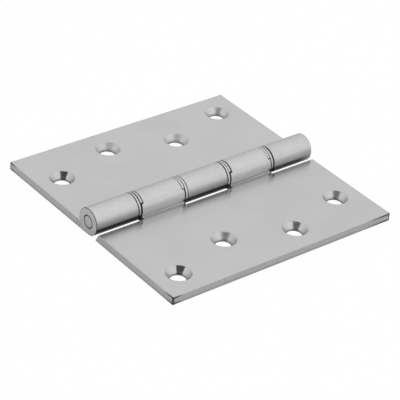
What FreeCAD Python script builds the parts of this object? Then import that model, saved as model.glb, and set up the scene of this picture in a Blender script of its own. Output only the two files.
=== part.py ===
import FreeCAD, Part
import Sketcher
import math
import os

# A double washered projection hinge, lying open and flat with its backs on z = 0.
# X runs across the leaves, Y along the pin and Z up. The pin's axis stands above the origin.
# Each leaf is one drawn section, a flat plate that runs into a round barrel. Slots are milled into it
# for the other leaf's knuckles, and every inner knuckle end has a seat for a keyed washer.
# A leaf is drawn with its plate towards +X, and the three-knuckle leaf is then turned half round.

# Driving sizes, in millimetres, and in degrees for the angle
SIZES = {
    "leaf_length": 102.0,
    "leaf_width": 51.0,
    "leaf_thickness": 3.2,
    "barrel_diameter": 10.8,
    "root_radius": 0.35,
    "edge_chamfer": 0.12,
    "knuckle_chamfer": 0.05,
    "end_knuckle_length": 18.8,
    "middle_knuckle_length": 18.7,
    "leaf_gap": 1.05,
    "slot_ease": 0.2,
    "slot_lean": 1.35,
    "slot_foot_height": 0.35,
    "washer_thickness": 0.98,
    "washer_play": 0.54,
    "washer_chamfer": 0.05,
    "shoulder_reach": 0.85,
    "shoulder_offset": 4.3,
    "shoulder_play": 0.2,
    "pin_diameter": 4.8,
    "pin_fit": 0.01,
    "pin_play": 0.06,
    "pin_chamfer": 0.05,
    "groove_width": 0.16,
    "groove_depth": 0.3,
    "screw_hole_diameter": 6.2,
    "countersink_diameter": 9.8,
    "countersink_angle": 90.0,
    "screw_end_margin": 10.65,
    "screw_side_margin": 10.9,
    "screw_stagger": 8.2,
}

# How far a milling cut runs past the metal, and how near two numbers count as the same place
CUT_MARGIN = 2.0
NEAR = 0.001

# Points along an edge that are tested when edges are chosen
EDGE_SAMPLES = 5

# Equal gaps between a leaf's four screw holes
SCREW_GAPS = 3

# Each joint between knuckles, from the -Y end: the shares of its play before the first washer and after
# the second. The rest lies between the two.
PLAY_SHARES = ((0.3, 0.3), (0.3, 0.35), (0.42, 0.48), (0.08, 0.74))

# Turns about the section's centres, in radians
QUARTER_TURN = math.pi / 2
HALF_TURN_DEGREES = 180.0

# Sketch geometry is named by its index. The origin, and a line or arc's points, have fixed ones.
START_INDEX = 1
END_INDEX = 2
CENTRE_INDEX = 3
UPRIGHT_AXIS_INDEX = -2
ORIGIN = (-1, START_INDEX)

UP = FreeCAD.Vector(0, 0, 1)


class Measure:
    """A length that knows its value and its expression on the sheet."""

    def __init__(self, value, text):
        self.value = value
        self.text = text

    def __add__(self, other):
        return Measure(self.value + other.value, f"({self.text} + {other.text})")

    def __sub__(self, other):
        return Measure(self.value - other.value, f"({self.text} - {other.text})")

    def __mul__(self, number):
        return Measure(self.value * number, f"({self.text} * {number})")

    def __truediv__(self, number):
        return Measure(self.value / number, f"({self.text} / {number})")

    def __neg__(self):
        return Measure(-self.value, f"(-{self.text})")


def size(alias):
    """A driving size, tied to its cell."""
    return Measure(SIZES[alias], "Sizes." + alias)


# Sizes that follow from the driving ones
HALF_LENGTH = size("leaf_length") / 2
BARREL_RADIUS = size("barrel_diameter") / 2
PIN_RADIUS = size("pin_diameter") / 2
JOINT_WIDTH = size("washer_thickness") * 2 + size("washer_play")
MARGIN = Measure(CUT_MARGIN, str(CUT_MARGIN))
PAST_BARREL = BARREL_RADIUS + MARGIN
PAST_TOP = size("barrel_diameter") + MARGIN
PAST_END = HALF_LENGTH + MARGIN
SLOT_WALL = BARREL_RADIUS + size("leaf_gap")
SLOT_FOOT = SLOT_WALL - size("slot_lean")

# Seats are the faces that the washers lie on, as distances from the middle of the hinge
END_KNUCKLE_SEAT = HALF_LENGTH - size("end_knuckle_length")
OUTER_SEAT = END_KNUCKLE_SEAT - JOINT_WIDTH
MIDDLE_KNUCKLE_SEAT = size("middle_knuckle_length") / 2
INNER_SEAT = MIDDLE_KNUCKLE_SEAT + JOINT_WIDTH
SEAT_DEPTHS = (END_KNUCKLE_SEAT, OUTER_SEAT, MIDDLE_KNUCKLE_SEAT, INNER_SEAT)
JOINTS = (
    (-END_KNUCKLE_SEAT, -OUTER_SEAT), (-INNER_SEAT, -MIDDLE_KNUCKLE_SEAT),
    (MIDDLE_KNUCKLE_SEAT, INNER_SEAT), (OUTER_SEAT, END_KNUCKLE_SEAT),
)

document = FreeCAD.newDocument("projection_hinge")
sheet = document.addObject("Spreadsheet::Sheet", "Sizes")


def fill_sheet():
    """Write every driving size into a cell of its own, under its name."""
    for row, (alias, value) in enumerate(SIZES.items(), start=1):
        sheet.set(f"A{row}", alias)
        sheet.set(f"B{row}", str(value))
        sheet.setAlias(f"B{row}", alias)
    document.recompute()


def new_body(name):
    """An empty body whose label names its file."""
    body = document.addObject("PartDesign::Body", name)
    body.Label = name
    return body


def new_sketch(body, name, plane_role):
    """A sketch on one of the body's own origin planes."""
    sketch = body.newObject("Sketcher::SketchObject", f"{body.Label}_{name}")
    plane = next(item for item in body.Origin.OriginFeatures if item.Role == plane_role)
    sketch.AttachmentSupport = (plane, [""])
    sketch.MapMode = "FlatFace"
    return sketch


def new_feature(body, kind, name):
    """A feature at the end of the body's history."""
    feature = body.newObject(f"PartDesign::{kind}", f"{body.Label}_{name}")
    return feature


def relate(sketch, kind, *places):
    """A constraint without a size."""
    sketch.addConstraint(Sketcher.Constraint(kind, *places))


def dimension(sketch, name, kind, places, measure):
    """A named constraint whose size follows the sheet."""
    index = sketch.addConstraint(Sketcher.Constraint(kind, *places, measure.value))
    sketch.renameConstraint(index, name)
    sketch.setExpression(f"Constraints.{name}", measure.text)


def flat_point(x_value, y_value):
    """A point in a sketch's own plane."""
    return FreeCAD.Vector(x_value, y_value, 0)


def place(sketch, name, kind, geometry, point, measure):
    """A point of the geometry, dimensioned from the origin."""
    dimension(sketch, name, kind, (*ORIGIN, geometry, point), measure)


def draw_circle(sketch, name, x_place, y_place, radius):
    """A circle with its centre and radius dimensioned."""
    centre = flat_point(x_place.value, y_place.value)
    circle = sketch.addGeometry(Part.Circle(centre, UP, radius.value))
    place(sketch, f"{name}_x", "DistanceX", circle, CENTRE_INDEX, x_place)
    place(sketch, f"{name}_y", "DistanceY", circle, CENTRE_INDEX, y_place)
    dimension(sketch, f"{name}_radius", "Radius", (circle,), radius)


def draw_round_the_pin(sketch, name, radius):
    """A circle round the pin's axis."""
    circle = sketch.addGeometry(Part.Circle(flat_point(0, BARREL_RADIUS.value), UP, radius.value))
    relate(sketch, "PointOnObject", circle, CENTRE_INDEX, UPRIGHT_AXIS_INDEX)
    place(sketch, f"{name}_height", "DistanceY", circle, CENTRE_INDEX, BARREL_RADIUS)
    dimension(sketch, f"{name}_radius", "Radius", (circle,), radius)


def draw_outline(sketch, name, corners):
    """A closed outline. A line is upright or level where its two corners share a place."""
    lines = []
    for here, there in zip(corners, corners[1:] + corners[:1]):
        start = flat_point(here[0].value, here[1].value)
        end = flat_point(there[0].value, there[1].value)
        lines.append(sketch.addGeometry(Part.LineSegment(start, end)))
    for number, line in enumerate(lines):
        line_before = lines[number - 1]
        corner_before = corners[number - 1]
        corner = corners[number]
        relate(sketch, "Coincident", line_before, END_INDEX, line, START_INDEX)
        if corner[0] is corner_before[0]:
            relate(sketch, "Vertical", line_before)
        else:
            place(sketch, f"{name}_x{number}", "DistanceX", line, START_INDEX, corner[0])
        if corner[1] is corner_before[1]:
            relate(sketch, "Horizontal", line_before)
        else:
            place(sketch, f"{name}_y{number}", "DistanceY", line, START_INDEX, corner[1])


def edge_names(shape, wanted):
    """Names of the shape's edges for which the test holds. An edge shrunk to a point is passed over."""
    numbered = enumerate(shape.Edges, start=1)
    return [f"Edge{number}" for number, edge in numbered if not edge.Degenerated and wanted(edge)]


def same(first, second):
    """Whether two numbers are the same place."""
    return abs(first - second) < NEAR


def lies_on(edge, axis, place):
    """Whether the whole edge lies at one place along the axis."""
    box = edge.BoundBox
    lowest = getattr(box, f"{axis}Min")
    highest = getattr(box, f"{axis}Max")
    return same(lowest, place) and same(highest, place)


def from_pin_axis(point):
    """How far a point lies from the pin's axis."""
    return math.hypot(point.x, point.z - BARREL_RADIUS.value)


def lies_round(edge, radius):
    """Whether the whole edge lies at the radius from the pin's axis, and crosswise to it."""
    across = same(edge.BoundBox.YMin, edge.BoundBox.YMax)
    return across and all(same(from_pin_axis(point), radius) for point in edge.discretize(EDGE_SAMPLES))


def extrude_both_ways(body, name, sketch, length):
    """A pad of the whole length, half to each side of its sketch."""
    pad = new_feature(body, "Pad", name)
    pad.Profile = sketch
    pad.SideType = "Symmetric"
    pad.setExpression("Length", length.text)
    document.recompute()
    return pad


def cut(body, name, sketch, length=None):
    """A pocket to both sides of its sketch, right through unless it has a length."""
    before = body.Shape.Volume
    pocket = new_feature(body, "Pocket", name)
    pocket.Profile = sketch
    pocket.SideType = "Symmetric"
    if length is None:
        pocket.Type = "ThroughAll"
    else:
        pocket.setExpression("Length", length.text)
    document.recompute()
    if body.Shape.Volume > before - NEAR:
        raise RuntimeError(f"{name} cut nothing from {body.Label}")
    return pocket


def chamfer_edges(body, name, width, wanted):
    """A chamfer on the edges of the body's last feature for which the test holds."""
    base = body.Tip
    before = body.Shape.Volume
    chamfer = new_feature(body, "Chamfer", name)
    chamfer.Base = (base, edge_names(base.Shape, wanted))
    chamfer.setExpression("Size", width.text)
    document.recompute()
    if body.Shape.Volume > before - NEAR:
        raise RuntimeError(f"{name} took nothing off {body.Label}")
    return chamfer


def draw_leaf_section(body):
    """Plate and barrel as one outline, with a fillet where the plate's face meets the barrel."""
    sketch = new_sketch(body, "section", "XZ_Plane")
    width = size("leaf_width")
    thickness = size("leaf_thickness")
    root = size("root_radius")
    root_height = thickness.value + root.value
    root_reach = BARREL_RADIUS.value + root.value
    root_x = math.sqrt(root_reach ** 2 - (BARREL_RADIUS.value - root_height) ** 2)
    bottom_right = flat_point(width.value, 0)
    top_right = flat_point(width.value, thickness.value)
    axis_centre = flat_point(0, BARREL_RADIUS.value)
    root_centre = flat_point(root_x, root_height)
    meeting = math.atan2(root_height - BARREL_RADIUS.value, root_x)

    back = sketch.addGeometry(Part.LineSegment(flat_point(0, 0), bottom_right))
    outer = sketch.addGeometry(Part.LineSegment(bottom_right, top_right))
    face = sketch.addGeometry(Part.LineSegment(top_right, flat_point(root_x, thickness.value)))
    root_circle = Part.Circle(root_centre, UP, root.value)
    root_arc = sketch.addGeometry(Part.ArcOfCircle(root_circle, meeting + math.pi, 3 * QUARTER_TURN))
    barrel_circle = Part.Circle(axis_centre, UP, BARREL_RADIUS.value)
    barrel = sketch.addGeometry(Part.ArcOfCircle(barrel_circle, meeting, 3 * QUARTER_TURN))

    relate(sketch, "Coincident", back, START_INDEX, *ORIGIN)
    relate(sketch, "Coincident", back, END_INDEX, outer, START_INDEX)
    relate(sketch, "Coincident", outer, END_INDEX, face, START_INDEX)
    relate(sketch, "Tangent", face, END_INDEX, root_arc, END_INDEX)
    relate(sketch, "Tangent", root_arc, START_INDEX, barrel, START_INDEX)
    relate(sketch, "Tangent", barrel, END_INDEX, back, START_INDEX)
    relate(sketch, "Horizontal", back)
    relate(sketch, "Vertical", outer)
    relate(sketch, "Horizontal", face)
    dimension(sketch, "leaf_width", "DistanceX", (back, START_INDEX, back, END_INDEX), width)
    dimension(sketch, "leaf_thickness", "DistanceY", (outer, START_INDEX, outer, END_INDEX), thickness)
    dimension(sketch, "barrel_radius", "Radius", (barrel,), BARREL_RADIUS)
    dimension(sketch, "root_radius", "Radius", (root_arc,), root)
    return sketch


def mill_slot(body, name, low, high):
    """A slot for the other leaf's knuckle. Its wall leans in below the barrel, down to a short foot."""
    sketch = new_sketch(body, f"{name}_shape", "XZ_Plane")
    sketch.setExpression("AttachmentOffset.Base.z", (-(low + high) / 2).text)
    below = -MARGIN
    far = -PAST_BARREL
    face = size("leaf_thickness")
    brow = SLOT_WALL + size("slot_ease")
    draw_outline(sketch, "slot", [
        (far, below), (SLOT_FOOT, below), (SLOT_FOOT, size("slot_foot_height")),
        (SLOT_WALL, face - size("slot_ease")), (brow, face), (brow, PAST_TOP), (far, PAST_TOP),
    ])
    cut(body, name, sketch, high - low)


def mill_seats(body, seats):
    """Washer seats, cut into the knuckle ends all but the shoulder beside the plate."""
    sketch = new_sketch(body, "seat_shapes", "XY_Plane")
    far = -PAST_BARREL
    flat = size("shoulder_offset")
    for number, (seat, mouth) in enumerate(seats, start=1):
        draw_outline(sketch, f"seat{number}", [(far, seat), (flat, seat), (flat, mouth), (far, mouth)])
    cut(body, "seats", sketch)


def bore_for_pin(body, clearance):
    """A round bore through all the leaf's knuckles."""
    sketch = new_sketch(body, "bore_shape", "XZ_Plane")
    draw_round_the_pin(sketch, "bore", PIN_RADIUS + clearance)
    cut(body, "bore", sketch)


def groove_round_the_pin(body):
    """A shallow groove round each end of the pin, let into the end knuckle's face."""
    for number, end in enumerate((-HALF_LENGTH, HALF_LENGTH), start=1):
        sketch = new_sketch(body, f"groove{number}_shape", "XZ_Plane")
        sketch.setExpression("AttachmentOffset.Base.z", (-end).text)
        draw_round_the_pin(sketch, "groove", PIN_RADIUS + size("groove_width"))
        cut(body, f"groove{number}", sketch, size("groove_depth") * 2)


def screw_places():
    """Centres of the four screw holes, evenly spaced in two rows, from the -Y end to the +Y end."""
    last = HALF_LENGTH - size("screw_end_margin")
    middle = last / SCREW_GAPS
    outer = size("leaf_width") - size("screw_side_margin")
    inner = outer - size("screw_stagger")
    return [(outer, -last), (inner, -middle), (outer, middle), (inner, last)]


def drill_screw_holes(body):
    """Countersunk screw holes, sunk from the leaf's face."""
    sketch = new_sketch(body, "screw_places", "XY_Plane")
    sketch.setExpression("AttachmentOffset.Base.z", size("leaf_thickness").text)
    radius = size("screw_hole_diameter") / 2
    for number, (across, along) in enumerate(screw_places(), start=1):
        draw_circle(sketch, f"screw{number}", across, along, radius)
    document.recompute()
    before = body.Shape.Volume
    hole = new_feature(body, "Hole", "screw_holes")
    hole.Profile = sketch
    document.recompute()
    hole.DepthType = "ThroughAll"
    hole.HoleCutType = "Countersink"
    hole.setExpression("Diameter", size("screw_hole_diameter").text)
    hole.setExpression("HoleCutDiameter", size("countersink_diameter").text)
    hole.setExpression("HoleCutCountersinkAngle", size("countersink_angle").text)
    document.recompute()
    if body.Shape.Volume > before - NEAR:
        raise RuntimeError(f"no screw hole was cut in {body.Label}")


def is_outer_edge(edge):
    """Edges round the ends of the drawn section, and along the plate's outer side."""
    at_end = lies_on(edge, "Y", HALF_LENGTH.value) or lies_on(edge, "Y", -HALF_LENGTH.value)
    return at_end or lies_on(edge, "X", size("leaf_width").value)


def is_seat_edge(edge):
    """The barrel's round edge at a washer's seat."""
    depth = abs(edge.BoundBox.Center.y)
    at_seat = any(same(depth, seat.value) for seat in SEAT_DEPTHS)
    return at_seat and lies_round(edge, BARREL_RADIUS.value)


def build_leaf(name, slots, seats, clearance):
    """A leaf with its plate towards +X. Slots and seats are pairs of places along the pin."""
    body = new_body(name)
    section = draw_leaf_section(body)
    extrude_both_ways(body, "drawn_bar", section, size("leaf_length"))
    chamfer_edges(body, "outer_edges", size("edge_chamfer"), is_outer_edge)
    for number, (low, high) in enumerate(slots, start=1):
        mill_slot(body, f"slot{number}", low, high)
    mill_seats(body, seats)
    chamfer_edges(body, "knuckle_edges", size("knuckle_chamfer"), is_seat_edge)
    bore_for_pin(body, clearance)
    drill_screw_holes(body)
    return body


def turn_half_round(body):
    """Turn a piece about Z so that its leaf lies towards -X."""
    body.Placement = FreeCAD.Placement(FreeCAD.Vector(0, 0, 0), FreeCAD.Rotation(UP, HALF_TURN_DEGREES))


def build_pin():
    """A plain round pin, flush with the end knuckles and chamfered at both ends."""
    body = new_body("hinge_pin")
    sketch = new_sketch(body, "round", "XZ_Plane")
    draw_round_the_pin(sketch, "round", PIN_RADIUS)
    extrude_both_ways(body, "rod", sketch, size("leaf_length"))
    chamfer_edges(body, "ends", size("pin_chamfer"), lambda edge: lies_round(edge, PIN_RADIUS.value))
    return body


def build_washer(name, middle, turned):
    """A washer as wide as the barrel, with a flat that lies against its own leaf's shoulder."""
    body = new_body(name)
    sketch = new_sketch(body, "shape", "XZ_Plane")
    flat = size("shoulder_offset") - size("shoulder_play")
    flat_angle = math.acos(flat.value / BARREL_RADIUS.value)
    centre = flat_point(0, BARREL_RADIUS.value)
    circle = Part.Circle(centre, UP, BARREL_RADIUS.value)
    rim = sketch.addGeometry(Part.ArcOfCircle(circle, flat_angle, 2 * math.pi - flat_angle))
    half_chord = BARREL_RADIUS.value * math.sin(flat_angle)
    low = flat_point(flat.value, BARREL_RADIUS.value - half_chord)
    high = flat_point(flat.value, BARREL_RADIUS.value + half_chord)
    chord = sketch.addGeometry(Part.LineSegment(low, high))
    relate(sketch, "Coincident", rim, END_INDEX, chord, START_INDEX)
    relate(sketch, "Coincident", chord, END_INDEX, rim, START_INDEX)
    relate(sketch, "PointOnObject", rim, CENTRE_INDEX, UPRIGHT_AXIS_INDEX)
    relate(sketch, "Vertical", chord)
    place(sketch, "axis_height", "DistanceY", rim, CENTRE_INDEX, BARREL_RADIUS)
    dimension(sketch, "rim_radius", "Radius", (rim,), BARREL_RADIUS)
    place(sketch, "flat", "DistanceX", chord, START_INDEX, flat)
    draw_round_the_pin(sketch, "bore", PIN_RADIUS + size("pin_play"))
    extrude_both_ways(body, "disc", sketch, size("washer_thickness"))
    chamfer_edges(body, "rims", size("washer_chamfer"), lambda edge: lies_round(edge, BARREL_RADIUS.value))
    if turned:
        turn_half_round(body)
    body.setExpression("Placement.Base.y", middle.text)
    return body


def build_washers():
    """Two washers in each joint, one keyed to either leaf, from the -Y end."""
    half = size("washer_thickness") / 2
    play = size("washer_play")
    washers = []
    rear_first = True
    for number, ((low, high), (before, after)) in enumerate(zip(JOINTS, PLAY_SHARES), start=1):
        first, second = ("rear", "front") if rear_first else ("front", "rear")
        low_middle = low + play * before + half
        high_middle = high - play * after - half
        washers.append(build_washer(f"washer_{number}_{first}", low_middle, rear_first))
        washers.append(build_washer(f"washer_{number}_{second}", high_middle, not rear_first))
        rear_first = not rear_first
    return washers


def check_and_write(pieces):
    """Stop on any failed object, then write each piece to its own file."""
    document.recompute()
    for item in document.Objects:
        if "Invalid" in item.State or "Error" in item.State:
            raise RuntimeError(f"{item.Label} failed")
    os.makedirs("parts", exist_ok=True)
    for piece in pieces:
        shape = piece.Shape
        if shape.isNull() or not shape.isValid() or len(shape.Solids) != 1:
            raise RuntimeError(f"{piece.Label} is not one valid solid")
    for piece in pieces:
        piece.Shape.exportStep(f"parts/{piece.Label}.step")


def build_rear_leaf():
    """The leaf with three knuckles, which holds the pin tight."""
    reach = size("shoulder_reach")
    outer_mouth = END_KNUCKLE_SEAT - reach
    inner_mouth = MIDDLE_KNUCKLE_SEAT + reach
    slots = [(-outer_mouth, -inner_mouth), (inner_mouth, outer_mouth)]
    seats = [
        (-END_KNUCKLE_SEAT, -outer_mouth), (-MIDDLE_KNUCKLE_SEAT, -inner_mouth),
        (MIDDLE_KNUCKLE_SEAT, inner_mouth), (END_KNUCKLE_SEAT, outer_mouth),
    ]
    body = build_leaf("three_knuckle_leaf", slots, seats, size("pin_fit"))
    groove_round_the_pin(body)
    turn_half_round(body)
    return body


def build_front_leaf():
    """The leaf with two knuckles, which turns on the pin."""
    reach = size("shoulder_reach")
    outer_mouth = OUTER_SEAT + reach
    inner_mouth = INNER_SEAT - reach
    slots = [(-PAST_END, -outer_mouth), (-inner_mouth, inner_mouth), (outer_mouth, PAST_END)]
    seats = [
        (-OUTER_SEAT, -outer_mouth), (-INNER_SEAT, -inner_mouth),
        (INNER_SEAT, inner_mouth), (OUTER_SEAT, outer_mouth),
    ]
    return build_leaf("two_knuckle_leaf", slots, seats, size("pin_play"))


fill_sheet()
check_and_write([build_rear_leaf(), build_front_leaf(), build_pin(), *build_washers()])
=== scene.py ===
import math

import bpy
from mathutils import Matrix, Vector

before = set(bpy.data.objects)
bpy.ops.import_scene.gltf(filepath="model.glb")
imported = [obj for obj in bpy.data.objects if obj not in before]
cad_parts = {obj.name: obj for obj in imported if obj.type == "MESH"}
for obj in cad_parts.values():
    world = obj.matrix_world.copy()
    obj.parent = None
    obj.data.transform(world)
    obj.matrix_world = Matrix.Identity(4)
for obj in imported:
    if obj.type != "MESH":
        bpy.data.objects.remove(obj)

# Looks of the hinge: satin chrome leaves, steel washers and pin, on a pale floor in a plain soft studio.
# Lengths are metres, in the part's own frame, unless a name or a comment says millimetres.

MM = 0.001
WHITE = (1.0, 1.0, 1.0, 1.0)

# The CAD nodes of each finish
LEAVES = ("three_knuckle_leaf", "two_knuckle_leaf")
WASHERS = tuple(f"washer_{joint}_{side}" for joint in (1, 2, 3, 4) for side in ("rear", "front"))
PINS = ("hinge_pin",)

# The camera, worked out from the photograph's vanishing lines
CAMERA_PLACE = Vector((0.446738, -0.386578, 0.378755))
CAMERA_RIGHT = Vector((0.61318, 0.78583, 0.08049))
CAMERA_DOWN = Vector((0.47028, -0.28128, -0.83649))
CAMERA_AHEAD = Vector((-0.63470, 0.55077, -0.54203))
SENSOR_WIDTH = 36.0
PHOTO_WIDTH = 400.0
FOCAL_PIXELS = 1863.27

# Greys and roughness of the finishes, and how far they wander. The two leaves' plating differs by a shade
REAR_GREY = 0.611
FRONT_GREY = 0.597
WASHER_GREY = 0.62
PIN_GREY = 0.58
GREY_SWING = 0.012
PLATE_ROUGHNESS = 0.25
BARREL_ROUGHNESS = 0.33
WASHER_ROUGHNESS = 0.30
PIN_ROUGHNESS = 0.32
ROUGHNESS_SWING = 0.005

# The barrel round the pin's axis, and where its finish fades into the plate's, as distances from that axis
PIN_HEIGHT = 5.4 * MM
BARREL_RADIUS = 5.4 * MM
BARREL_SKIN = 5.25 * MM
BARREL_FADE_START = 5.5 * MM
BARREL_FADE_END = 5.9 * MM

# Fine lines and clouds in the metal, as waves per metre, with the detail of each noise. Nearly all of a
# noise lies between two levels
LINES_ACROSS = 4000.0
LINES_ALONG = 120.0
LINES_DEPTH = 0.0008 * MM
CLOUD_SCALE = 60.0
GRAIN_AROUND = 1300.0
GRAIN_ALONG = 350.0
GRAIN_SWING = 0.02
LINE_DETAIL = 3.0
CLOUD_DETAIL = 2.0
RING_DETAIL = 2.0
MOTTLE_DETAIL = 1.0
NOISE_LOW = 0.3
NOISE_HIGH = 0.7
NOISE_MIDDLE = 0.5

# Countersinks: the places of their centres in millimetres, and how rough and how light each was left
SINKS = (
    (40.1, -40.35, 0.11, 0.56), (31.9, -13.45, 0.30, 0.57), (40.1, 13.45, 0.21, 0.58),
    (31.9, 40.35, 0.24, 0.57), (-31.9, -40.35, 0.12, 0.56), (-40.1, -13.45, 0.42, 0.61),
    (-31.9, 13.45, 0.42, 0.62), (-40.1, 40.35, 0.30, 0.61),
)
SINK_RADIUS = 4.93 * MM
SINK_TOP = 3.17 * MM
FACE_TOP = 3.19 * MM
BACK_TOP = 0.02 * MM

# Turned rings in them. The bore carries on the cone's look, and painted shade darkens it from its top to
# its foot. Below
# SHARP_TOP their edges aren't eased
RINGS_SCALE = 2200.0
RINGS_DEPTH = 0.014 * MM
RINGS_SWING = 0.03
BORE_TOP = 1.4 * MM
BORE_FOOT = 0.45 * MM
BORE_FOOT_SHADE = 0.5
SHARP_TOP = 2.4 * MM

# Edges are eased by the polishing, and have painted shade where the eased surface bends away from the true
# one
EDGE_EASE = 0.35 * MM
EDGE_SAMPLES = 8
EDGE_SHADE_START = 0.005
EDGE_SHADE_END = 0.10
EDGE_SHADE_GREY = 0.36

# The leaves' corners have a painted dark reflection, and so do the edges near them: the place of each in
# millimetres, and how far along the edges its painted reflection reaches
SHADED_CORNERS = ((51.0, -51.0, 5.0), (51.0, 51.0, 13.0), (-51.0, -51.0, 5.0), (-51.0, 51.0, 4.0))
CORNER_SHADE_FULL = 0.2 * MM
CORNER_SHADE_END = 1.1 * MM
CORNER_SHADE_GREY = 0.10

# Painted shade on the barrel's edges, which are mostly its joints: places along the pin in millimetres,
# and how dark the shade painted on the edges there is. Inside the barrel all has painted shade
JOINT_SHADE = (
    (-51.0, 1.0), (-32.4, 0.85), (-31.2, 1.0), (-30.0, 0.8), (-12.4, 0.0), (-10.8, 0.15), (-9.5, 0.25),
    (9.3, 1.0), (10.4, 0.6), (11.5, 1.0), (30.0, 0.2), (31.0, 0.6), (31.8, 1.0), (51.0, 0.5),
)
NEAR_EDGE_START = 0.0004
NEAR_EDGE_END = 0.007
JOINT_SHADE_GREY = 0.03
INSIDE_END = 50.5 * MM

# Along the pin, the front leaf's own knuckles lie between these distances from the middle
OWN_START = 9.6 * MM
OWN_END = 31.4 * MM
OWN_FADE = 0.2 * MM

# The knuckles that hang over the front leaf's slots have painted shade on their undersides, less at the
# far end
UNDER_TOP = 9.2 * MM
UNDER_FOOT = 3.6 * MM
UNDER_SHADE_GREY = 0.28
FAR_UNDER_START = 31.0 * MM
FAR_UNDER_END = 34.0 * MM
FAR_UNDER_SHARE = 0.6

# Two lines of painted shade along each root, where a leaf joins its knuckles: distance from the middle,
# reach, grey
ROOT_SHADE_LINES = ((5.1 * MM, 0.5 * MM, 0.46), (6.7 * MM, 0.35 * MM, 0.40))
ROOT_TOP = 4.2 * MM

# Rolled edge of the front leaf's slots, from where the plate starts. It dips there, and fades out beside
# the leaf's own knuckles, which for it are shifted a little along the pin
PLATE_START = 6.3 * MM
ROLL_END = 8.9 * MM
ROLL_DEPTH = 0.205 * MM
ROLL_SHIFT = 1.9 * MM
ROLL_OWN_START = 10.2 * MM
ROLL_OWN_END = 31.6 * MM
ROLL_FADE = 2.0 * MM

# The leaves' sides are sawn and mottled, and have painted shade that is darker towards their edges
SIDE_START = 50.9 * MM
SIDE_MIDDLE = 1.7 * MM
SIDE_UNSHADED = 0.4 * MM
SIDE_SHADED = 1.4 * MM
SIDE_SHADE_GREY = 0.50
SAWN_SCALE = 1800.0
SAWN_SWING = 0.04

# The white tent round the hinge: its levels from the horizon up, and how it leans towards one side
SKY_LEVELS = ((0.0, 0.76), (0.1, 0.81), (0.3, 0.87), (0.5, 0.92), (0.75, 0.98), (1.0, 1.0))
SKY_TILT = (0.22, 0.02, 0.0)

# The floor, the share of it that the camera looks through, and the share that is white to mirror rays
FLOOR_SIZE = 6.0
FLOOR_GREY = 0.70
FLOOR_DROP = 0.02 * MM
CLEAR_SHARE = 0.96
MIRRORED_SHARE = 0.02

# The lamp and the dark card
LAMP_PLACE = Vector((0.45, 0.6, 1.1))
LAMP_SIZE = 1.0
LAMP_POWER = 0.12
CARD_TURN = math.radians(-54.0)
CARD_DISTANCE = 1.0
CARD_HALF_WIDTH = 1.0
CARD_FOOT = 0.95
CARD_TOP = 2.2
CARD_GREY = 0.12

# Axes that a distance is measured along: round an upright axis, and round the pin
ROUND_UPRIGHT = (1.0, 1.0, 0.0)
ROUND_PIN = (1.0, 0.0, 1.0)

# Sockets of the Mix node for vectors, and of the Mix Shader node
VECTOR_A = 4
VECTOR_B = 5
VECTOR_RESULT = 1
SHADER_A = 1
SHADER_B = 2


def add_node(tree, kind, settings=None, inputs=None):
    """A shader node with its settings and inputs. An input is a value, or an output to link to."""
    node = tree.nodes.new(kind)
    for name, value in (settings or {}).items():
        setattr(node, name, value)
    for name, value in (inputs or {}).items():
        if isinstance(value, bpy.types.NodeSocket):
            tree.links.new(value, node.inputs[name])
        else:
            node.inputs[name].default_value = value
    return node


def compute(tree, operation, *values):
    """A number from one or two others."""
    node = add_node(tree, "ShaderNodeMath", {"operation": operation}, dict(enumerate(values)))
    return node.outputs["Value"]


def compute_vector(tree, operation, *vectors):
    """A node that works on one or two vectors."""
    return add_node(tree, "ShaderNodeVectorMath", {"operation": operation}, dict(enumerate(vectors)))


def product(tree, first, *others):
    """Numbers multiplied together."""
    for other in others:
        first = compute(tree, "MULTIPLY", first, other)
    return first


def highest(tree, first, *others):
    """The highest of some numbers."""
    for other in others:
        first = compute(tree, "MAXIMUM", first, other)
    return first


def opposite(tree, share):
    """1 less a share."""
    return compute(tree, "SUBTRACT", 1.0, share)


def size(tree, value):
    """A number without its sign."""
    return compute(tree, "ABSOLUTE", value)


def spread(tree, value, low, high, to_low, to_high, kind="SMOOTHSTEP"):
    """A number moved from one range to another, smoothly unless told otherwise, and held at its ends."""
    names = ("Value", "From Min", "From Max", "To Min", "To Max")
    inputs = dict(zip(names, (value, low, high, to_low, to_high)))
    return add_node(tree, "ShaderNodeMapRange", {"interpolation_type": kind}, inputs).outputs["Result"]


def swing(tree, level, reach):
    """A noise's level turned into a swing to both sides of 0."""
    return spread(tree, level, NOISE_LOW, NOISE_HIGH, -reach, reach)


def blend(tree, share, first, second):
    """A number between two, by share."""
    inputs = {"Factor": share, "A": first, "B": second}
    return add_node(tree, "ShaderNodeMix", None, inputs).outputs["Result"]


def blend_vectors(tree, share, first, second):
    """A vector between two, by share."""
    inputs = {"Factor": share, VECTOR_A: first, VECTOR_B: second}
    return add_node(tree, "ShaderNodeMix", {"data_type": "VECTOR"}, inputs).outputs[VECTOR_RESULT]


def blend_shaders(tree, share, first, second):
    """A shader between two, by share."""
    inputs = {"Fac": share, SHADER_A: first, SHADER_B: second}
    return add_node(tree, "ShaderNodeMixShader", None, inputs).outputs["Shader"]


def own_place(tree):
    """A point's place in the part's frame at rest, which moves with the piece."""
    return add_node(tree, "ShaderNodeTexCoord").outputs["Object"]


def axes(tree, vector):
    """A vector's three numbers."""
    node = add_node(tree, "ShaderNodeSeparateXYZ", None, {"Vector": vector})
    return node.outputs["X"], node.outputs["Y"], node.outputs["Z"]


def distance(tree, point, centre, kept_axes):
    """How far a point is from a centre, along the axes that are kept."""
    away = compute_vector(tree, "SUBTRACT", point, centre).outputs["Vector"]
    kept = compute_vector(tree, "MULTIPLY", away, kept_axes).outputs["Vector"]
    return compute_vector(tree, "LENGTH", kept).outputs["Value"]


def distance_from_pin(tree, point):
    """How far a point is from the pin's axis."""
    return distance(tree, point, (0.0, 0.0, PIN_HEIGHT), ROUND_PIN)


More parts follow.
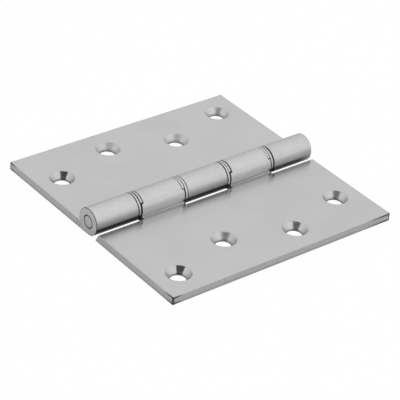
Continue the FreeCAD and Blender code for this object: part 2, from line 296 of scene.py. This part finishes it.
def noise(tree, point, stretch, detail):
    """Noise between 0 and 1, with its waves per metre along each axis."""
    squeezed = add_node(tree, "ShaderNodeMapping", None, {"Vector": point, "Scale": stretch})
    inputs = {"Vector": squeezed.outputs["Vector"], "Scale": 1.0, "Detail": detail}
    return add_node(tree, "ShaderNodeTexNoise", None, inputs).outputs["Fac"]


def ring_noise(tree, ring):
    """Noise between 0 and 1 that changes with the distance from a countersink's middle."""
    inputs = {"W": product(tree, ring, RINGS_SCALE), "Scale": 1.0, "Detail": RING_DETAIL}
    return add_node(tree, "ShaderNodeTexNoise", {"noise_dimensions": "1D"}, inputs).outputs["Fac"]


def ramp(tree, share, stops):
    """A level that follows stops, given as places from 0 to 1 with a level each."""
    node = add_node(tree, "ShaderNodeValToRGB", None, {"Fac": share})
    steps = node.color_ramp.elements
    for place, level in stops:
        step = steps.new(place)
        step.color = (level, level, level, 1.0)
    steps.remove(steps[0])
    steps.remove(steps[len(steps) - 1])
    return node.outputs["Color"]


def grey_colour(tree, level):
    """A level as a grey colour."""
    inputs = {"Red": level, "Green": level, "Blue": level}
    return add_node(tree, "ShaderNodeCombineColor", None, inputs).outputs["Color"]


def bump(tree, height, depth, normal):
    """A normal tilted by a height that goes from 0 to 1 over a depth."""
    inputs = {"Distance": depth, "Height": height, "Normal": normal}
    return add_node(tree, "ShaderNodeBump", None, inputs).outputs["Normal"]


def new_metal(name):
    """A node material set to bare metal."""
    material = bpy.data.materials.new(name)
    material.use_nodes = True
    tree = material.node_tree
    shader = tree.nodes["Principled BSDF"]
    shader.inputs["Metallic"].default_value = 1.0
    return material, tree, shader


def edge_bend(tree):
    """Eased normals, and how far they bend from the true ones."""
    bevel = add_node(tree, "ShaderNodeBevel", {"samples": EDGE_SAMPLES}, {"Radius": EDGE_EASE})
    eased = bevel.outputs["Normal"]
    true = add_node(tree, "ShaderNodeNewGeometry").outputs["True Normal"]
    return eased, opposite(tree, compute_vector(tree, "DOT_PRODUCT", eased, true).outputs["Value"])


def barrel_share(tree, from_pin):
    """1 on the barrel, 0 on the plate."""
    return spread(tree, from_pin, BARREL_FADE_START, BARREL_FADE_END, 1.0, 0.0)


def front_share(tree, x):
    """1 on the +X side, 0 on the -X side."""
    return compute(tree, "GREATER_THAN", x, 0.0)


def own_share(tree, x, along, start, end, fade):
    """1 where a leaf is beside its own knuckles, 0 where it is beside a slot."""
    past_start = spread(tree, along, start, start + fade, 0.0, 1.0)
    before_end = spread(tree, along, end - fade, end, 1.0, 0.0)
    beside_front = product(tree, past_start, before_end)
    return blend(tree, front_share(tree, x), opposite(tree, beside_front), beside_front)


def joint_shade_along(tree, y):
    """How dark the painted shade is on the barrel's edges at a place along the pin."""
    start_mm = JOINT_SHADE[0][0]
    end_mm = JOINT_SHADE[-1][0]
    share = spread(tree, y, start_mm * MM, end_mm * MM, 0.0, 1.0, "LINEAR")
    return ramp(tree, share, [((place - start_mm) / (end_mm - start_mm), level) for place, level in JOINT_SHADE])


def corner_shade(tree, point):
    """How near a leaf's corner is, for its painted dark reflection: close by, and along its edges."""
    at_corner = 0.0
    near_corner = 0.0
    for x_mm, y_mm, reach_mm in SHADED_CORNERS:
        away = distance(tree, point, (x_mm * MM, y_mm * MM, 0.0), ROUND_UPRIGHT)
        close = spread(tree, away, CORNER_SHADE_FULL, CORNER_SHADE_END, 1.0, 0.0)
        at_corner = highest(tree, at_corner, close)
        along = spread(tree, away, CORNER_SHADE_END, reach_mm * MM, 1.0, 0.0)
        near_corner = highest(tree, near_corner, along)
    return at_corner, near_corner


def sawn_and_shaded_sides(tree, point, tone, near_corner):
    """The tone with the sawn sides of the leaves mottled, and painted shade darker towards their edges."""
    x, y, z = axes(tree, point)
    across = size(tree, x)
    outer = compute(tree, "GREATER_THAN", highest(tree, across, size(tree, y)), SIDE_START)
    mottle = noise(tree, point, (SAWN_SCALE, SAWN_SCALE, SAWN_SCALE), MOTTLE_DETAIL)
    mottled = compute(tree, "ADD", tone, swing(tree, mottle, SAWN_SWING))
    on_leaf = product(tree, compute(tree, "LESS_THAN", z, FACE_TOP),
                      compute(tree, "GREATER_THAN", across, PLATE_START))
    from_middle = size(tree, compute(tree, "SUBTRACT", z, SIDE_MIDDLE))
    # Painted shade towards the top and bottom edges of the sawn sides
    rim_shade = product(tree, spread(tree, from_middle, SIDE_UNSHADED, SIDE_SHADED, 0.0, 1.0), on_leaf)
    rim_shade_grey = blend(tree, near_corner, SIDE_SHADE_GREY, CORNER_SHADE_GREY)
    return blend(tree, outer, tone, blend(tree, rim_shade, mottled, rim_shade_grey))


def clouded_and_shaded_tone(tree, point, grey, bend, near_edge):
    """The grey with clouds in it, painted shade on the edges, a painted dark reflection at the corners,
    and the sawn sides.
    """
    clouds = noise(tree, point, (CLOUD_SCALE, CLOUD_SCALE, CLOUD_SCALE), CLOUD_DETAIL)
    tone = compute(tree, "ADD", grey, swing(tree, clouds, GREY_SWING))
    # Painted shade darkens the eased edges
    tone = blend(tree, spread(tree, bend, EDGE_SHADE_START, EDGE_SHADE_END, 0.0, 1.0), tone, EDGE_SHADE_GREY)
    at_corner, near_corner = corner_shade(tree, point)
    tone = sawn_and_shaded_sides(tree, point, tone, near_corner)
    # Painted dark reflection at the leaves' corners and along the edges near them
    tone = blend(tree, at_corner, tone, CORNER_SHADE_GREY)
    return blend(tree, product(tree, near_edge, near_corner), tone, CORNER_SHADE_GREY)


def underside_shade(tree, point, from_pin, own):
    """How much painted shade falls on the undersides of the knuckles that hang over the front leaf's
    slots.
    """
    x, y, z = axes(tree, point)
    low = spread(tree, z, UNDER_FOOT, UNDER_TOP, 1.0, 0.0)
    outside = compute(tree, "GREATER_THAN", from_pin, BARREL_SKIN)
    along = spread(tree, y, FAR_UNDER_START, FAR_UNDER_END, 1.0, FAR_UNDER_SHARE)
    return product(tree, low, opposite(tree, own), front_share(tree, x), outside, along)


def root_shade_lines(tree, point, tone, own):
    """The tone with painted shade lines along the roots."""
    x, _, z = axes(tree, point)
    across = size(tree, x)
    low = compute(tree, "LESS_THAN", z, ROOT_TOP)
    for place, reach, line_shade_grey in ROOT_SHADE_LINES:
        aside = size(tree, compute(tree, "SUBTRACT", across, place))
        # Painted shade lines along the roots
        line = product(tree, spread(tree, aside, 0.0, reach, 1.0, 0.0), own, low)
        tone = blend(tree, line, tone, line_shade_grey)
    return tone


def barrel_tone(tree, point, tone, near_edge):
    """The tone with painted shade on the barrel's undersides, its grain, and painted shade along the
    roots, in the joints and inside the barrel.
    """
    x, y, _ = axes(tree, point)
    along = size(tree, y)
    from_pin = distance_from_pin(tree, point)
    on_barrel = barrel_share(tree, from_pin)
    own = own_share(tree, x, along, OWN_START, OWN_END, OWN_FADE)
    under_shade = underside_shade(tree, point, from_pin, own)
    # Painted shade on the undersides of the knuckles over the slots
    tone = blend(tree, product(tree, under_shade, on_barrel), tone, UNDER_SHADE_GREY)
    grain = noise(tree, point, (GRAIN_AROUND, GRAIN_ALONG, GRAIN_AROUND), LINE_DETAIL)
    tone = compute(tree, "ADD", tone, product(tree, swing(tree, grain, GRAIN_SWING), on_barrel))
    tone = root_shade_lines(tree, point, tone, own)
    # Painted shade inside the barrel, and in the joints along its edges
    inside = product(tree, compute(tree, "LESS_THAN", from_pin, BARREL_SKIN),
                     compute(tree, "LESS_THAN", along, INSIDE_END))
    tone = blend(tree, inside, tone, JOINT_SHADE_GREY)
    return blend(tree, product(tree, near_edge, joint_shade_along(tree, y), on_barrel), tone, JOINT_SHADE_GREY)


def finish_metal(tree, shader, grey, roughness, lines, shapes=(), sharp=0.0):
    """The metal's colour, roughness and normal. Shapes are bumps, each a height with its depth, and edges
    aren't eased where sharp is 1."""
    point = own_place(tree)
    eased, bend = edge_bend(tree)
    near_edge = spread(tree, bend, NEAR_EDGE_START, NEAR_EDGE_END, 0.0, 1.0)
    tone = clouded_and_shaded_tone(tree, point, grey, bend, near_edge)
    tone = barrel_tone(tree, point, tone, near_edge)
    tree.links.new(grey_colour(tree, tone), shader.inputs["Base Color"])
    varied = compute(tree, "ADD", roughness, swing(tree, lines, ROUGHNESS_SWING))
    tree.links.new(varied, shader.inputs["Roughness"])
    plain = add_node(tree, "ShaderNodeNewGeometry").outputs["Normal"]
    normal = blend_vectors(tree, sharp, eased, plain)
    for height, depth in (*shapes, (lines, LINES_DEPTH)):
        normal = bump(tree, height, depth, normal)
    tree.links.new(normal, shader.inputs["Normal"])


def slot_roll(tree, point, on_barrel):
    """The rolled edge's height: 0 at the front leaf's slots, and 1 away from them."""
    x, y, _ = axes(tree, point)
    along = size(tree, compute(tree, "ADD", y, ROLL_SHIFT))
    own = own_share(tree, x, along, ROLL_OWN_START, ROLL_OWN_END, ROLL_FADE)
    away = spread(tree, size(tree, x), PLATE_START, ROLL_END, 0.0, 1.0)
    return highest(tree, own, away, opposite(tree, front_share(tree, x)), on_barrel)


def leaf_finish():
    """Satin chrome, brushed along the leaves and the barrel, and turned in each countersink."""
    material, tree, shader = new_metal("satin_chrome")
    point = own_place(tree)
    x, _, height = axes(tree, point)
    on_barrel = barrel_share(tree, distance_from_pin(tree, point))
    grey = spread(tree, x, -BARREL_RADIUS, BARREL_RADIUS, REAR_GREY, FRONT_GREY)
    roughness = blend(tree, on_barrel, PLATE_ROUGHNESS, BARREL_ROUGHNESS)
    lines = noise(tree, point, (LINES_ACROSS, LINES_ALONG, LINES_ACROSS), LINE_DETAIL)
    turned = NOISE_MIDDLE
    deep = 0.0

    sunk = product(tree, spread(tree, height, SINK_TOP, FACE_TOP, 1.0, 0.0),
                   compute(tree, "GREATER_THAN", height, BACK_TOP))
    bore_shade = spread(tree, height, BORE_FOOT, BORE_TOP, BORE_FOOT_SHADE, 1.0)
    for x_mm, y_mm, left_rough, left_grey in SINKS:
        ring = distance(tree, point, (x_mm * MM, y_mm * MM, 0.0), ROUND_UPRIGHT)
        inside = product(tree, compute(tree, "LESS_THAN", ring, SINK_RADIUS), sunk)
        rings = ring_noise(tree, ring)
        sink_grey = compute(tree, "ADD", left_grey, swing(tree, rings, RINGS_SWING))
        # Painted shade darkens each bore towards its foot
        grey = blend(tree, inside, grey, product(tree, sink_grey, bore_shade))
        roughness = blend(tree, inside, roughness, left_rough)
        lines = blend(tree, inside, lines, rings)
        turned = blend(tree, inside, turned, rings)
        deep = highest(tree, deep, inside)

    cone = product(tree, spread(tree, height, BORE_TOP, BORE_FOOT, 0.0, 1.0, "LINEAR"), deep)
    roll = slot_roll(tree, point, on_barrel)
    shapes = ((cone, BORE_TOP - BORE_FOOT), (turned, RINGS_DEPTH), (roll, ROLL_DEPTH))
    sharp = product(tree, deep, compute(tree, "LESS_THAN", height, SHARP_TOP))
    finish_metal(tree, shader, grey, roughness, lines, shapes, sharp)
    return material


def steel_finish(name, grey, roughness):
    """Steel turned round the pin's axis."""
    material, tree, shader = new_metal(name)
    lines = noise(tree, own_place(tree), (LINES_ALONG, LINES_ACROSS, LINES_ALONG), LINE_DETAIL)
    finish_metal(tree, shader, grey, roughness, lines)
    return material


def dress(names, material):
    """Give CAD nodes their finish."""
    for name in names:
        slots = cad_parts[name].data.materials
        slots.clear()
        slots.append(material)


def make_camera():
    """The camera at the photograph's place, with its view."""
    data = bpy.data.cameras.new("camera")
    data.sensor_width = SENSOR_WIDTH
    data.lens = FOCAL_PIXELS * SENSOR_WIDTH / PHOTO_WIDTH
    camera = bpy.data.objects.new("camera", data)
    turn = Matrix((CAMERA_RIGHT, -CAMERA_DOWN, -CAMERA_AHEAD)).transposed()
    camera.matrix_world = Matrix.Translation(CAMERA_PLACE) @ turn.to_4x4()
    bpy.context.scene.collection.objects.link(camera)
    bpy.context.scene.camera = camera


def empty_material(name):
    """A material with no nodes yet."""
    material = bpy.data.materials.new(name)
    material.use_nodes = True
    tree = material.node_tree
    tree.nodes.clear()
    return material, tree


def show(tree, shader):
    """Send a shader to the material's output."""
    add_node(tree, "ShaderNodeOutputMaterial", None, {"Surface": shader})


def make_floor():
    """A pale floor. The camera looks through most of it at the white tent, so that its shadows stay faint
    and a leaf that hangs below its level stays in view."""
    bpy.ops.mesh.primitive_plane_add(size=FLOOR_SIZE, location=(0, 0, -FLOOR_DROP))
    floor = bpy.context.object
    floor.name = "floor"
    material, tree = empty_material("pale_floor")
    rays = add_node(tree, "ShaderNodeLightPath")
    seen = rays.outputs["Is Camera Ray"]
    mirrored = compute(tree, "ADD", rays.outputs["Is Glossy Ray"], rays.outputs["Is Transmission Ray"])
    grey = grey_colour(tree, blend(tree, seen, FLOOR_GREY, 1.0))
    matte = add_node(tree, "ShaderNodeBsdfDiffuse", None, {"Color": grey}).outputs["BSDF"]
    white = add_node(tree, "ShaderNodeEmission").outputs["Emission"]
    clear = add_node(tree, "ShaderNodeBsdfTransparent").outputs["BSDF"]
    lifted = blend_shaders(tree, product(tree, mirrored, MIRRORED_SHARE), matte, white)
    show(tree, blend_shaders(tree, product(tree, seen, CLEAR_SHARE), lifted, clear))
    floor.data.materials.append(material)


def make_card():
    """A dark card near the photographer's place. Only the metal mirrors it."""
    side = Vector((-math.sin(CARD_TURN), math.cos(CARD_TURN), 0.0)) * CARD_HALF_WIDTH
    middle = Vector((math.cos(CARD_TURN), math.sin(CARD_TURN), 0.0)) * CARD_DISTANCE
    foot = middle + Vector((0.0, 0.0, CARD_FOOT))
    top = middle + Vector((0.0, 0.0, CARD_TOP))
    mesh = bpy.data.meshes.new("dark_card")
    mesh.from_pydata([foot - side, foot + side, top + side, top - side], [], [(0, 1, 2, 3)])
    card = bpy.data.objects.new("dark_card", mesh)
    bpy.context.scene.collection.objects.link(card)
    material, tree = empty_material("dark_card")
    dark = add_node(tree, "ShaderNodeBsdfDiffuse", None, {"Color": (CARD_GREY, CARD_GREY, CARD_GREY, 1.0)})
    show(tree, dark.outputs["BSDF"])
    mesh.materials.append(material)
    card.visible_camera = False
    card.visible_diffuse = False
    card.visible_shadow = False


def make_lamp():
    """One large soft lamp, high up on the +X and +Y side."""
    data = bpy.data.lights.new("soft_lamp", "AREA")
    data.size = LAMP_SIZE
    data.energy = LAMP_POWER
    lamp = bpy.data.objects.new("soft_lamp", data)
    lamp.location = LAMP_PLACE
    lamp.rotation_euler = LAMP_PLACE.to_track_quat("Z", "Y").to_euler()
    bpy.context.scene.collection.objects.link(lamp)


def make_sky():
    """A soft white tent, a little darker towards the floor and on the -X side, but even to the camera."""
    world = bpy.data.worlds.new("studio")
    bpy.context.scene.world = world
    world.use_nodes = True
    tree = world.node_tree
    tree.nodes.clear()
    direction = add_node(tree, "ShaderNodeTexCoord").outputs["Generated"]
    _, _, height = axes(tree, direction)
    tilt = compute_vector(tree, "DOT_PRODUCT", direction, SKY_TILT).outputs["Value"]
    lean = product(tree, tilt, opposite(tree, height))
    level = compute(tree, "ADD", ramp(tree, height, SKY_LEVELS), lean)
    seen = add_node(tree, "ShaderNodeLightPath").outputs["Is Camera Ray"]
    level = blend(tree, seen, level, 1.0)
    tent = add_node(tree, "ShaderNodeBackground", None, {"Color": WHITE, "Strength": level})
    add_node(tree, "ShaderNodeOutputWorld", None, {"Surface": tent.outputs["Background"]})


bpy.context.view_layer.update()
make_camera()
dress(LEAVES, leaf_finish())
dress(WASHERS, steel_finish("washer_steel", WASHER_GREY, WASHER_ROUGHNESS))
dress(PINS, steel_finish("pin_steel", PIN_GREY, PIN_ROUGHNESS))
make_floor()
make_card()
make_lamp()
make_sky()
bpy.context.scene.view_settings.view_transform = "Standard"
